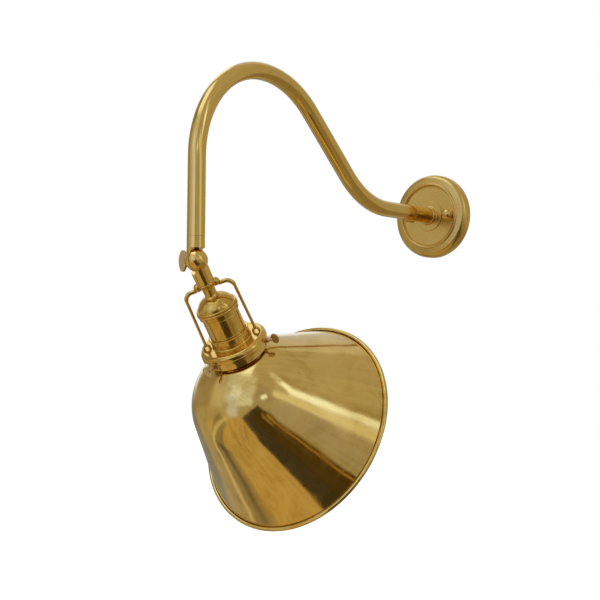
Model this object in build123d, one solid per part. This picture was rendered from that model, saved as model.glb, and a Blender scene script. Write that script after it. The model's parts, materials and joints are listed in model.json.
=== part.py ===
"""A wall-mounted brass picture light: rose, gooseneck arm, tilting knuckle, lampholder and angled dome shade.

Units are millimetres, +Z is up. The origin is the centre of the rose on the wall plane; the arm
leaves the wall along -Y, and the whole light is symmetric about the plane X = 0 apart from its screws
and its two support rods.
"""
from build123d import *
import os
from math import acos, cos, pi, radians, sin, sqrt

# ---- driving dimensions ------------------------------------------------------------------------
# Rose: a turned cover on the wall. Depths are measured out from the wall.
ROSE_R = 54.9
ROSE_SIDE_DEPTH = 8.0
ROSE_SHOULDER_IN = (49.6, 14.6)
ROSE_SHOULDER_MID = (53.4, 11.9)
ROSE_BEAD_R = 41.9
ROSE_BEAD_TOP = 17.6
ROSE_BEAD_FOOT = 16.0
ROSE_BEAD_HALF = 1.5
ROSE_FACE_R = 39.6
ROSE_FACE_DEPTH = 15.0
ROSE_WALL = 1.5

# Bracket behind the rose, with the two studs that hold the rose on.
BRACKET_R = 46.0
BRACKET_T = 2.2
WALL_SCREW_SPACING = 72.0
WALL_SCREW_HOLE_R = 2.6
CABLE_HOLE_R = 8.0
CABLE_HOLE_Z = 18.0
STUD_X = 30.0
STUD_R = 2.0
DOME_NUT_R = 7.0
DOME_NUT_H = 10.0

# Gooseneck arm: straight, bend up, straight, two bends over and down, straight.
TUBE_R = 10.0
TUBE_WALL = 1.2
ARM_ROOT_RUN = 112.6
ARM_RISE_R = 127.0
ARM_RISE_ANGLE = 42.2
ARM_SLOPE_RUN = 101.3
ARM_CREST_R = 128.2
ARM_CREST_ANGLE = 44.7
ARM_DROP_R = 109.8
ARM_DROP_RUN = 113.7
FLANGE_R = 20.0
FLANGE_T = 1.6
HUB_R = 12.0
HUB_H = 3.9
NIPPLE_R = 5.0
NIPPLE_BORE_R = 3.4
FLEX_R = 2.1
FIT = 0.05

# Knuckle: two half balls clamped side by side on an axis along X.
BALL_R = 12.4
BALL_X = 1.5
SPLIT_X = 1.5
SPLIT_GAP = 0.3
BALL_FLAT_X = -8.7
FERRULE_TOP = 26.0
FERRULE_FOOT = 13.3
SPIGOT_TOP = 34.0
KNUCKLE_SCREW_R = 2.45
PADDLE_CENTRE_X = -18.2
PADDLE_HALF_X = 5.7
PADDLE_HALF_Z = 11.8
PADDLE_T = 3.2

# Head, along the neck axis from the knuckle's pivot.
NECK_TILT = 35.8
STEM_TOP = 6.0
STEM_TOP_R = 10.4
STEM_FOOT_R = 10.0
STEM_FOOT = 27.0
COLLAR_R = 10.3
COLLAR_RIM = 1.5
COLLAR_CONE_TOP_R = 9.0
COLLAR_CONE_FOOT_R = 7.7
COLLAR_FOOT = 38.0
LUG_R = 5.2
LUG_OUT = 10.4
LUG_S = 32.5
ROD_R = 2.4
ROD_START_OUT = 13.0
ROD_AZIMUTH = -36.0
ROD_TOP = 34.0
ROD_BEND_R = 9.0
ROD_TOP_OUT = 27.8
ROD_FOOT_OUT = 29.4
EYE_R = 3.4
EYE_WIRE_R = 1.5
EYE_S = 103.0
CAP_NECK_R = 7.5
CAP_NECK_END = 42.0
CAP_RIM_TOP = 57.4
CAP_FOOT = 67.0
CAP_R = 23.2
SHELL_R = 21.0
SHELL_FOOT = 92.4
SHELL_THREAD_R = 20.3
SHELL_END = 109.0
HUSK_R = 22.7
HUSK_LIP_R = 23.4
GALLERY_TOP = 104.1
GALLERY_T = 1.2
GALLERY_FLAT_R = 33.4
GALLERY_R = 38.5
GALLERY_SHOULDER = 108.6
GALLERY_FOOT = 115.4
GALLERY_TAB_FOOT = 117.4
GALLERY_WALL = 1.3
GALLERY_SCREW_S = 114.6
GALLERY_SCREW_AZIMUTHS = (-22.0, -142.0, -262.0)
GALLERY_SCREW_TWISTS = (8.0, -12.0, 15.0)
GALLERY_SCREW_R = 1.9
GALLERY_PADDLE_OUT = 48.0
GALLERY_PADDLE_HALF_OUT = 4.4
GALLERY_PADDLE_HALF_ACROSS = 6.6
TAB_HALF_ANGLE = 9.0
NOTCH_ANGLE = 17.0
NOTCH_TOP = 112.6
RETAINER_R = 24.6

# Shade: a dome whose own axis leans further toward the wall than the neck does.
SHADE_TILT = 67.0
NOSE_S = 193.7
NOSE_R = 79.0
RIM_DEPTH = 65.5
RIM_R = 127.0
RIM_BEAD_R = 2.5
SHADE_T = 1.0
SHADE_EDGE_R = 123.0
SHADE_NECK_R = 34.0
SHADE_NECK_TOP = 109.7

# Lampholder and lamp.
CORE_TOP = 62.0
CORE_FOOT = 75.0
CORE_R = 18.4
SCREW_SHELL_R = 13.8
SCREW_SHELL_WALL = 0.5
SCREW_SHELL_END = 102.0
LAMP_CAP_R = 13.0
LAMP_CAP_TOP = 79.0
LAMP_CAP_FOOT = 103.5
LAMP_R = 30.0
LAMP_END = 181.0
LAMP_NECK_R = 13.4
LAMP_LEAN = 38.0
LAMP_GLASS_T = 0.9
LAMP_PITCH = 3.6
LAMP_THREADS = 5

# ---- placing -----------------------------------------------------------------------------------
# Out of the wall: local x is X, local y is Z, local z points away from the wall.
WALL = Plane(origin=(0, 0, 0), x_dir=(1, 0, 0), z_dir=(0, -1, 0))
# The arm's own plane: local x points away from the wall, local y is up.
ARM = Plane(origin=(0, 0, 0), x_dir=(0, -1, 0), z_dir=(-1, 0, 0))


def lies_along(tilt):
    """The direction that hangs down and leans toward the wall by tilt degrees."""
    return Vector(0, sin(radians(tilt)), -cos(radians(tilt)))


def arm_path(start):
    """The centreline of the arm in its own plane, from start out of the wall to the ferrule."""
    root = Line((start, 0), (ARM_ROOT_RUN, 0))
    rise = JernArc(root @ 1, root % 1, ARM_RISE_R, ARM_RISE_ANGLE)
    slope = Line(rise @ 1, rise @ 1 + (rise % 1) * ARM_SLOPE_RUN)
    crest = JernArc(slope @ 1, slope % 1, ARM_CREST_R, -ARM_CREST_ANGLE)
    drop = JernArc(crest @ 1, crest % 1, ARM_DROP_R, ARM_CREST_ANGLE - ARM_RISE_ANGLE - 90)
    return [root, rise, slope, crest, drop]


def pivot_point():
    """The knuckle's pivot: the end of the last straight run of the arm."""
    end = ARM.from_local_coords(arm_path(0)[-1] @ 1)
    return end + Vector(0, 0, -ARM_DROP_RUN)


PIVOT = pivot_point()
NECK_DIR = lies_along(NECK_TILT)
NECK = Plane(origin=PIVOT, x_dir=(1, 0, 0), z_dir=NECK_DIR)
NOSE = PIVOT + NECK_DIR * NOSE_S
SHADE = Plane(origin=NOSE, x_dir=(1, 0, 0), z_dir=lies_along(SHADE_TILT))


# ---- shape helpers -----------------------------------------------------------------------------
def turned(*outline):
    """A solid turned about Z from the lines and arcs of a closed (radius, height) outline."""
    edges = [edge for part in outline for edge in part.edges()]
    return revolve(Plane.XZ * make_face(edges), Axis.Z)


def ring(outer, inner, low, high):
    """A plain ring or, with inner 0, a disc, about Z between two heights."""
    body = Pos(0, 0, low) * Cylinder(outer, high - low, align=(Align.CENTER, Align.CENTER, Align.MIN))
    if inner:
        body -= Pos(0, 0, low) * Cylinder(inner, high - low, align=(Align.CENTER, Align.CENTER, Align.MIN))
    return body


def hex_nut(across, bore, low, high):
    """A hexagon nut about Z with lightly chamfered corners."""
    corner = across / 2 / cos(radians(30))
    body = Pos(0, 0, low) * extrude(RegularPolygon(corner, 6), high - low)
    blank = ring(corner, 0, low, high)
    body &= chamfer(blank.edges().filter_by(GeomType.CIRCLE), 0.5)
    return body - ring(bore, 0, low, high)


def rod(path, radius):
    """A round rod along a path made of tangent lines and arcs."""
    edges = [edge for part in path for edge in part.edges()]
    wire = Wire(edges)
    return sweep(Plane(origin=wire @ 0, z_dir=wire % 0) * Circle(radius), path=wire)


def at_azimuth(angle):
    """A plane through the Z axis: local x is radial at that angle, local y is Z."""
    return Plane(origin=(0, 0, 0), x_dir=(cos(radians(angle)), sin(radians(angle)), 0),
                 z_dir=(sin(radians(angle)), -cos(radians(angle)), 0))


# ---- wall side ---------------------------------------------------------------------------------
def rose():
    bead_in, bead_out = ROSE_BEAD_R - ROSE_BEAD_HALF, ROSE_BEAD_R + ROSE_BEAD_HALF
    inside = ROSE_FACE_DEPTH - ROSE_WALL
    hole = NIPPLE_R + FIT
    body = turned(
        Polyline((hole, inside), (hole, ROSE_FACE_DEPTH), (ROSE_FACE_R, ROSE_FACE_DEPTH),
                 (bead_in, ROSE_BEAD_FOOT)),
        ThreePointArc((bead_in, ROSE_BEAD_FOOT), (ROSE_BEAD_R, ROSE_BEAD_TOP), (bead_out, ROSE_BEAD_FOOT)),
        Line((bead_out, ROSE_BEAD_FOOT), ROSE_SHOULDER_IN),
        ThreePointArc(ROSE_SHOULDER_IN, ROSE_SHOULDER_MID, (ROSE_R, ROSE_SIDE_DEPTH)),
        Polyline((ROSE_R, ROSE_SIDE_DEPTH), (ROSE_R, 0), (ROSE_R - ROSE_WALL, 0),
                 (ROSE_R - ROSE_WALL, ROSE_SIDE_DEPTH), (48.8, 12.9), (ROSE_BEAD_R, 14.4),
                 (ROSE_FACE_R - 1, inside), (hole, inside)))
    for side in (-1, 1):
        body -= Pos(side * STUD_X, 0, 0) * ring(STUD_R + 0.15, 0, inside - 1, ROSE_FACE_DEPTH + 1)
    return WALL * body


def mounting_bracket():
    plate = ring(BRACKET_R, 0, 0, BRACKET_T)
    plate -= Pos(0, CABLE_HOLE_Z, 0) * ring(CABLE_HOLE_R, 0, 0, BRACKET_T)
    for side in (-1, 1):
        plate -= Pos(0, side * WALL_SCREW_SPACING / 2, 0) * ring(WALL_SCREW_HOLE_R, 0, 0, BRACKET_T)
        plate -= Pos(side * STUD_X, 0, 0) * ring(STUD_R + FIT, 0, 0, BRACKET_T)
    plate -= Pos(-18, 18, 0) * ring(1.6 + FIT, 0, 0, BRACKET_T)
    return WALL * plate


def cable_grommet():
    neck = ring(CABLE_HOLE_R - FIT, CABLE_HOLE_R - 2.2, 0.2, BRACKET_T)
    lip = ring(CABLE_HOLE_R + 1.6, CABLE_HOLE_R - 2.2, BRACKET_T, BRACKET_T + 1.2)
    return WALL * (Pos(0, CABLE_HOLE_Z, 0) * (neck + lip))


def rose_stud(side):
    return WALL * (Pos(side * STUD_X, 0, 0) * ring(STUD_R, 0, 0.3, 21.0))


def dome_nut(side):
    foot, top = ROSE_FACE_DEPTH, ROSE_FACE_DEPTH + DOME_NUT_H
    waist = DOME_NUT_R - 1.2
    crown = 5.0
    crown_drop = 1.8
    crown_r = (crown ** 2 + crown_drop ** 2) / (2 * crown_drop)
    crown_mid = (crown / 2, top - crown_r + sqrt(crown_r ** 2 - (crown / 2) ** 2))
    body = turned(
        Polyline((STUD_R + FIT, foot), (DOME_NUT_R - 0.4, foot), (DOME_NUT_R - 0.4, foot + 1.0),
                 (waist, foot + 1.5)),
        ThreePointArc((waist, foot + 1.5), (DOME_NUT_R, foot + 4.8), (crown, top - crown_drop)),
        ThreePointArc((crown, top - crown_drop), crown_mid, (0, top)),
        Polyline((0, top), (0, foot + 7), (STUD_R + FIT, foot + 7), (STUD_R + FIT, foot)))
    return WALL * (Pos(side * STUD_X, 0, 0) * body)


TERMINAL_Z = -20.0
TERMINAL_TOP = 10.2


def terminal_block():
    body = Pos(0, TERMINAL_Z, BRACKET_T) * Box(28, 12, TERMINAL_TOP - BRACKET_T,
                                               align=(Align.CENTER, Align.CENTER, Align.MIN))
    body = fillet(body.edges().filter_by(Axis.Z), 1.2)
    for x in (-9, 0, 9):
        body -= Pos(x, TERMINAL_Z, 0) * ring(1.3, 0, 6, TERMINAL_TOP)
    return WALL * body


def slotted_screw(radius, head_r, low, seat, top):
    """A cheese-head screw about Z: shank from low to seat, slotted head from seat to top."""
    body = ring(radius, 0, low, seat) + ring(head_r, 0, seat, top)
    return body - Pos(0, 0, top) * Box(0.6, 3 * head_r, 1.2)


def terminal_screws():
    screw = slotted_screw(1.25, 2.1, 6.2, TERMINAL_TOP, TERMINAL_TOP + 1.3)
    return WALL * Compound(children=[Pos(x, TERMINAL_Z, 0) * screw for x in (-9, 0, 9)])


def earth_screw():
    return WALL * (Pos(-18, 18, 0) * slotted_screw(1.6, 3.2, 0.3, BRACKET_T, BRACKET_T + 2.0))


def arm_flange():
    foot = ROSE_FACE_DEPTH
    top = foot + FLANGE_T
    bore = TUBE_R + FIT
    return WALL * turned(
        Polyline((NIPPLE_R + FIT, foot), (FLANGE_R, foot), (FLANGE_R, top - 0.7)),
        ThreePointArc((FLANGE_R, top - 0.7), (FLANGE_R - 0.2, top - 0.2), (FLANGE_R - 0.7, top)),
        Polyline((FLANGE_R - 0.7, top), (HUB_R + 0.4, top), (HUB_R, top + 0.5),
                 (HUB_R, top + HUB_H - 1.0)),
        ThreePointArc((HUB_R, top + HUB_H - 1.0), (HUB_R - 0.3, top + HUB_H - 0.3),
                      (HUB_R - 1.0, top + HUB_H)),
        Polyline((HUB_R - 1.0, top + HUB_H), (bore, top + HUB_H), (bore, top), (NIPPLE_R + FIT, top),
                 (NIPPLE_R + FIT, foot)))


ARM_START = ROSE_FACE_DEPTH + FLANGE_T + 0.1


def gooseneck_arm():
    path = arm_path(ARM_START)
    foot = path[-1] @ 1
    drop = Line(foot, foot + Vector(0, FERRULE_TOP - ARM_DROP_RUN))
    outer = rod([ARM * part for part in path + [drop]], TUBE_R)
    inner = rod([ARM * part for part in path + [drop]], TUBE_R - TUBE_WALL)
    return outer - inner


def arm_plug():
    return WALL * ring(TUBE_R - TUBE_WALL - FIT, NIPPLE_R + FIT, ARM_START, ARM_START + 10)


def arm_nipple():
    return WALL * ring(NIPPLE_R, NIPPLE_BORE_R, 9.2, ARM_START + 11)


def lock_washer():
    back = ROSE_FACE_DEPTH - ROSE_WALL
    return WALL * ring(8.6, NIPPLE_R + FIT, back - 1.0, back)


def arm_locknut():
    back = ROSE_FACE_DEPTH - ROSE_WALL - 1.0
    return WALL * hex_nut(14, NIPPLE_R + FIT, back - 2.9, back)


def arm_flex():
    """Two-core flex from the terminal block through the nipple and the whole arm to the ferrule."""
    bend = 5.0
    rise = Line((6.0, TERMINAL_Z + 6.0), (6.0, -bend))
    turn = JernArc(rise @ 1, rise % 1, bend, -90)
    path = arm_path(6.0 + bend)
    foot = path[-1] @ 1
    drop = Line(foot, foot + Vector(0, FERRULE_FOOT + 2 - ARM_DROP_RUN))
    return rod([ARM * part for part in [rise, turn] + path + [drop]], FLEX_R)


# ---- knuckle -----------------------------------------------------------------------------------
def half_space(low, high):
    """A block that keeps only what lies between two values of X."""
    return Pos((low + high) / 2, 0, 0) * Box(high - low, 90, 90)


def knuckle_ball(radius):
    """A ball on the knuckle's axis, with its poles on that axis."""
    return Pos(BALL_X, 0, 0) * Rot(0, 90, 0) * Sphere(radius)


def knuckle_upper():
    """The ferrule that plugs the arm, with the fixed half ball on its left side."""
    left = half_space(BALL_FLAT_X, SPLIT_X - SPLIT_GAP)
    ball = knuckle_ball(BALL_R) & left
    cheek = ring(TUBE_R, 0, 0, FERRULE_FOOT + 1) & left
    ferrule = ring(TUBE_R, 0, FERRULE_FOOT, FERRULE_TOP - 0.1)
    spigot = ring(TUBE_R - TUBE_WALL - FIT, 0, FERRULE_TOP - 0.1, SPIGOT_TOP)
    body = ball + cheek + ferrule + spigot
    body -= ring(4.0, 0, FERRULE_FOOT - 2, SPIGOT_TOP)
    body -= Rot(0, 90, 0) * ring(KNUCKLE_SCREW_R + FIT, 0, -20, 20)
    return Pos(*PIVOT) * body


def friction_washer():
    face = SPLIT_X - SPLIT_GAP
    return Pos(*PIVOT) * (Rot(0, 90, 0) * ring(9.0, KNUCKLE_SCREW_R + FIT, face, face + 2 * SPLIT_GAP - 0.05))


def knuckle_lower():
    """The domed half ball on the right, carried by the stem of the head."""
    face = SPLIT_X + SPLIT_GAP
    stem = Pos(0, 0, STEM_TOP) * Cone(STEM_TOP_R, STEM_FOOT_R, STEM_FOOT - STEM_TOP,
                                      align=(Align.CENTER, Align.CENTER, Align.MIN))
    stem -= knuckle_ball(BALL_R + 0.3) & half_space(-20, face)
    stem -= Pos(-10 + face, 0, STEM_TOP) * Box(20, 24, 6, align=(Align.CENTER, Align.CENTER, Align.MIN))
    ball = knuckle_ball(BALL_R) & half_space(face, 20)
    body = stem + ball
    body -= ring(NIPPLE_BORE_R, 0, 14, 21)
    body -= ring(NIPPLE_R + FIT, 0, 20, STEM_FOOT + 1)
    body -= Rot(0, 90, 0) * ring(KNUCKLE_SCREW_R + FIT, 0, 0, 9.5)
    return NECK * body


def knuckle_thumbscrew():
    """Shank along X with a flat waisted paddle for the fingers."""
    shank = ring(KNUCKLE_SCREW_R, 0, -10.3, 8.5)
    shoulder = ring(4.6, 0, -10.3, BALL_FLAT_X - 0.1)
    root = Pos(0, 0, -14.5) * Cone(3.4, 4.6, 4.2, align=(Align.CENTER, Align.CENTER, Align.MIN))
    stalk = Rot(0, 90, 0) * (shank + shoulder + root)
    oval = Plane.XZ * Ellipse(PADDLE_HALF_X, PADDLE_HALF_Z)
    paddle = Pos(PADDLE_CENTRE_X, 0, 0) * extrude(oval, PADDLE_T / 2, both=True)
    paddle = fillet(paddle.edges(), 0.9)
    return Pos(*PIVOT) * (stalk + paddle)


# ---- head --------------------------------------------------------------------------------------
def rod_path():
    """The support rod in its radial plane, from the lug on the neck to the gallery."""
    lug = Vector(ROD_START_OUT, ROD_TOP)
    corner = Vector(ROD_TOP_OUT, ROD_TOP)
    foot = Vector(ROD_FOOT_OUT, EYE_S - EYE_R)
    return FilletPolyline(lug, corner, foot, radius=ROD_BEND_R)


def rod_azimuth(side):
    return ROD_AZIMUTH + (180 if side < 0 else 0)


def neck_collar():
    """The waisted nut under the stem, with a ball lug each side that takes a support rod."""
    rim = STEM_FOOT + COLLAR_RIM
    bore = NIPPLE_R + FIT
    body = turned(Polyline((bore, STEM_FOOT), (COLLAR_R, STEM_FOOT), (COLLAR_R, rim),
                           (COLLAR_CONE_TOP_R, rim + 0.6), (COLLAR_CONE_FOOT_R, COLLAR_FOOT),
                           (bore, COLLAR_FOOT), (bore, STEM_FOOT)))
    for side in (-1, 1):
        plane = at_azimuth(rod_azimuth(side))
        body += plane * (Pos(LUG_OUT, LUG_S, 0) * Rot(0, 90, 0) * Sphere(LUG_R))
        body -= plane * (Pos(ROD_START_OUT - 0.1, ROD_TOP, 0) * Rot(0, 90, 0) * ring(ROD_R + FIT, 0, 0, 10))
    return NECK * body


def eye(wire):
    """The ring at a rod's foot, in the rod's own plane."""
    return Pos(ROD_FOOT_OUT, EYE_S, 0) * Torus(EYE_R, wire)


def support_rod(side):
    """A bent rod from the neck collar to the gallery, ending in an eye set in a slot of the gallery."""
    plane = at_azimuth(rod_azimuth(side))
    return NECK * (rod([plane * rod_path()], ROD_R) + plane * eye(EYE_WIRE_R))


def neck_nipple():
    return NECK * ring(NIPPLE_R, NIPPLE_BORE_R, 20.1, 56.0)


def head_flex():
    return NECK * ring(FLEX_R, 0, 15.0, CORE_TOP)


def socket_cap():
    """The bell-shaped cap of the lampholder, drawn out of one disc, with two beads round its rim."""
    bore = NIPPLE_R + FIT
    inner = SHELL_R + FIT
    neck = (CAP_NECK_R - 0.3, CAP_NECK_END)
    flare = (10.6, 46.4)
    shoulder = (21.2, CAP_RIM_TOP)
    groove = (CAP_R - 1.3, CAP_RIM_TOP + 2.4)
    under = (CAP_R - 0.2, CAP_RIM_TOP + 5.4)
    bead_r = CAP_R + 0.8
    shelf = (20.4, 59.0)
    return NECK * turned(
        Polyline((bore, COLLAR_FOOT), (CAP_NECK_R, COLLAR_FOOT), neck),
        ThreePointArc(neck, (8.1, 44.7), flare),
        ThreePointArc(flare, (17.4, 50.8), shoulder),
        ThreePointArc(shoulder, (bead_r - 0.6, CAP_RIM_TOP + 1.1), groove),
        ThreePointArc(groove, (bead_r, CAP_RIM_TOP + 3.9), under),
        Polyline(under, (CAP_R - 0.2, CAP_FOOT - 0.5), (CAP_R - 0.7, CAP_FOOT), (inner, CAP_FOOT),
                 (inner, 60.0), shelf),
        ThreePointArc(shelf, (16.4, 52.4), (9.8, 48.2)),
        Polyline((9.8, 48.2), (bore, 47.2), (bore, COLLAR_FOOT)))


def neck_locknut():
    return NECK * hex_nut(15, NIPPLE_R + FIT, 49.6, 53.2)


def socket_shell():
    """The plain cylinder of the lampholder, stepped in at its foot to carry the gallery."""
    bore, top = 19.6, 60.2
    return NECK * turned(Polyline((bore, top), (SHELL_R, top), (SHELL_R, SHELL_FOOT),
                                  (SHELL_THREAD_R, SHELL_FOOT), (SHELL_THREAD_R, SHELL_END),
                                  (bore, SHELL_END), (bore, top)))


def shell_liner():
    return NECK * ring(19.5, 18.9, 61.0, 108.0)


def socket_husk():
    """The sleeve that bears on the gallery plate, with a rolled lip at its top."""
    inner = SHELL_THREAD_R + FIT
    top = SHELL_FOOT + 0.1
    return NECK * turned(
        Line((inner, top), (HUSK_LIP_R - 0.5, top)),
        ThreePointArc((HUSK_LIP_R - 0.5, top), (HUSK_LIP_R, top + 0.6), (HUSK_LIP_R - 0.5, top + 1.2)),
        Polyline((HUSK_LIP_R - 0.5, top + 1.2), (HUSK_R - 0.3, top + 1.8), (HUSK_R, GALLERY_TOP - 1.2),
                 (HUSK_R + 0.9, GALLERY_TOP), (inner, GALLERY_TOP), (inner, top)))


def retaining_ring():
    """The internally threaded ring under the gallery plate."""
    low = GALLERY_TOP + GALLERY_T
    return NECK * ring(RETAINER_R, SHELL_THREAD_R + FIT, low, SHELL_END - 0.4)


def skirt_cut(top, start, sweep):
    """What is cut from the gallery's skirt below top, over part of a turn."""
    block = Pos(GALLERY_R, (top + 120) / 2) * Rectangle(6, 120 - top)
    return Rot(0, 0, start) * revolve(Plane.XZ * block, Axis.Z, revolution_arc=sweep)


def gallery():
    """The shade carrier: a plate turned down into a skirt, notched beside each of its three screw tabs."""
    hole = SHELL_THREAD_R + 0.2
    under = GALLERY_TOP + GALLERY_T
    skirt_in = GALLERY_R - GALLERY_WALL
    flat = (GALLERY_FLAT_R, GALLERY_TOP)
    shoulder = (GALLERY_R, GALLERY_SHOULDER)
    shoulder_in = (skirt_in, GALLERY_SHOULDER + 0.3)
    flat_in = (GALLERY_FLAT_R - 0.3, under)
    body = turned(
        Line((hole, GALLERY_TOP), flat),
        ThreePointArc(flat, (37.1, 105.5), shoulder),
        Polyline(shoulder, (GALLERY_R, GALLERY_TAB_FOOT), (skirt_in, GALLERY_TAB_FOOT), shoulder_in),
        ThreePointArc(shoulder_in, (36.0, 106.4), flat_in),
        Polyline(flat_in, (hole, under), (hole, GALLERY_TOP)))
    for azimuth in GALLERY_SCREW_AZIMUTHS:
        body -= skirt_cut(GALLERY_FOOT, azimuth + TAB_HALF_ANGLE, 120 - 2 * TAB_HALF_ANGLE)
        body -= skirt_cut(NOTCH_TOP, azimuth + TAB_HALF_ANGLE, NOTCH_ANGLE)
        body -= skirt_cut(NOTCH_TOP, azimuth - TAB_HALF_ANGLE - NOTCH_ANGLE, NOTCH_ANGLE)
        along = Rot(0, 0, azimuth) * (Pos(0, 0, GALLERY_SCREW_S) * Rot(0, 90, 0))
        body -= along * ring(GALLERY_SCREW_R + FIT, 0, 30, 45)
    for side in (-1, 1):
        body -= at_azimuth(rod_azimuth(side)) * eye(EYE_WIRE_R + 0.25)
    return NECK * body


def gallery_screw(index):
    """One of the thumbscrews that grip the shade's neck: a shank with a small oval paddle."""
    shank = ring(GALLERY_SCREW_R, 0, SHADE_NECK_R + 0.35, GALLERY_PADDLE_OUT - 2.5)
    shoulder = ring(2.7, 0, GALLERY_R + 0.4, GALLERY_R + 1.8)
    outline = Ellipse(GALLERY_PADDLE_HALF_ACROSS, GALLERY_PADDLE_HALF_OUT)
    oval = Plane.XZ * (Pos(0, GALLERY_PADDLE_OUT) * outline)
    paddle = fillet(extrude(oval, 0.9, both=True).edges(), 0.4)
    body = Rot(0, 90, 0) * (Rot(0, 0, GALLERY_SCREW_TWISTS[index]) * (shank + shoulder + paddle))
    return NECK * (Rot(0, 0, GALLERY_SCREW_AZIMUTHS[index]) * (Pos(0, 0, GALLERY_SCREW_S) * body))


# ---- shade -------------------------------------------------------------------------------------
def shade_profile(offset):
    """The dome's outline offset inward: an arc from the pole, then the cone tangent to it."""
    radius = NOSE_R - offset
    reach = sqrt(SHADE_EDGE_R ** 2 + RIM_DEPTH ** 2)
    # The cone touches the nose sphere where the radius is square to the line out to the rim.
    angle = acos(RIM_DEPTH / reach) + acos(NOSE_R / reach)
    touch = (radius * sin(angle), radius * cos(angle))
    middle = (radius * sin((angle + pi) / 2), radius * cos((angle + pi) / 2))
    edge = (SHADE_EDGE_R - offset / sin(angle), RIM_DEPTH)
    return (0, -radius), middle, touch, edge


def shade():
    """A spun dome: spherical nose, conical skirt, and a round opening where the neck enters."""
    pole_o, mid_o, touch_o, edge_o = shade_profile(0)
    pole_i, mid_i, touch_i, edge_i = shade_profile(SHADE_T)
    body = turned(
        ThreePointArc(pole_o, mid_o, touch_o),
        Line(touch_o, edge_o),
        Line(edge_o, edge_i),
        Line(edge_i, touch_i),
        ThreePointArc(touch_i, mid_i, pole_i),
        Line(pole_i, pole_o))
    body -= Pos(0, 0, RIM_DEPTH) * Torus(RIM_R - RIM_BEAD_R, RIM_BEAD_R + 0.03)
    body = SHADE * body
    body -= NECK * ring(SHADE_NECK_R + 0.03, 0, 100, NOSE_S)
    return body.solids().sort_by(SortBy.VOLUME)[-1]


def rim_bead():
    body = Torus(RIM_R - RIM_BEAD_R, RIM_BEAD_R) - Torus(RIM_R - RIM_BEAD_R, 1.55)
    return SHADE * (Pos(0, 0, RIM_DEPTH) * body)


def rim_wire():
    return SHADE * (Pos(0, 0, RIM_DEPTH) * Torus(RIM_R - RIM_BEAD_R, 1.5))


def shade_neck():
    """The short collar soldered round the opening, which the gallery screws grip."""
    bore, lip = SHADE_NECK_R - 1.2, SHADE_NECK_R + 1.1
    body = turned(Polyline((bore, SHADE_NECK_TOP), (lip, SHADE_NECK_TOP), (lip, SHADE_NECK_TOP + 1.2),
                           (SHADE_NECK_R, SHADE_NECK_TOP + 1.8), (SHADE_NECK_R, 140), (bore, 140),
                           (bore, SHADE_NECK_TOP)))
    inside = Pos(0, 0, NOSE_S) * Sphere(NOSE_R - SHADE_T)
    return NECK * (body - inside).solids().sort_by(Axis.Z)[0]


# ---- lampholder and lamp -----------------------------------------------------------------------
def lampholder_core():
    """The glazed ceramic core that carries the contacts and the screw shell."""
    recess = SCREW_SHELL_R + 0.1
    body = turned(Polyline((0, CORE_TOP), (CORE_R - 3, CORE_TOP), (CORE_R, CORE_TOP + 3),
                           (CORE_R, CORE_FOOT), (recess, CORE_FOOT), (recess, CORE_FOOT - 1.5),
                           (0, CORE_FOOT - 1.5), (0, CORE_TOP)))
    for side in (-1, 1):
        body -= Pos(side * 11.0, 0, 0) * ring(1.3, 0, CORE_TOP, CORE_TOP + 5)
    body -= ring(1.6, 0, CORE_FOOT - 4, CORE_FOOT)
    return NECK * body


def holder_screws():
    """The two terminal screws on the back of the ceramic core."""
    screw = Pos(0, 0, CORE_TOP) * Rot(180, 0, 0) * slotted_screw(1.25, 2.3, -4.5, 0, 1.6)
    return NECK * Compound(children=[Pos(side * 11.0, 0, 0) * screw for side in (-1, 1)])


def screw_shell():
    inner = SCREW_SHELL_R - SCREW_SHELL_WALL
    low = CORE_FOOT - 1.5
    return NECK * turned(Polyline((4.0, low), (SCREW_SHELL_R, low), (SCREW_SHELL_R, SCREW_SHELL_END),
                                  (inner, SCREW_SHELL_END), (inner, low + 0.5), (4.0, low + 0.5), (4.0, low)))


def centre_contact():
    seat = CORE_FOOT - 1.5
    return NECK * (ring(1.5, 0, CORE_FOOT - 3.9, seat) + ring(3.2, 0, seat, CORE_FOOT + 0.8))


def lamp_cap():
    """The lamp's hollow screw cap, with a rounded thread and an insulated tip."""
    tip = CORE_FOOT + 0.9
    crests = []
    root_r = LAMP_CAP_R - 0.9
    low = LAMP_CAP_TOP + 1.0
    for turn in range(LAMP_THREADS):
        start = low + turn * LAMP_PITCH
        peak = (LAMP_CAP_R, start + LAMP_PITCH / 2)
        crests.append(ThreePointArc((root_r, start), peak, (root_r, start + LAMP_PITCH)))
    end = low + LAMP_THREADS * LAMP_PITCH
    inner = root_r - 0.6
    return NECK * turned(
        Polyline((0, tip), (4.2, tip), (5.0, tip + 1.0), (LAMP_CAP_R - 2.5, LAMP_CAP_TOP), (root_r, low)),
        *crests,
        Polyline((root_r, end), (root_r + 0.3, LAMP_CAP_FOOT), (inner, LAMP_CAP_FOOT), (inner, low + 1.0),
                 (0, low + 1.0), (0, tip)))


def lamp_body(offset):
    """The lamp's pear shape, drawn in by offset."""
    radius = LAMP_R - offset
    neck = LAMP_NECK_R - offset
    centre = LAMP_END - LAMP_R
    lean = radians(LAMP_LEAN)
    shoulder = (radius * cos(lean), centre - radius * sin(lean))
    middle = (radius * cos((pi / 2 - lean) / 2), centre + radius * sin((pi / 2 - lean) / 2))
    return turned(
        Polyline((0, LAMP_CAP_FOOT), (neck, LAMP_CAP_FOOT), (neck, LAMP_CAP_FOOT + 3), shoulder),
        ThreePointArc(shoulder, middle, (0, centre + radius)),
        Line((0, centre + radius), (0, LAMP_CAP_FOOT)))


def lamp_glass():
    return NECK * (lamp_body(0) - lamp_body(LAMP_GLASS_T))


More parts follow.
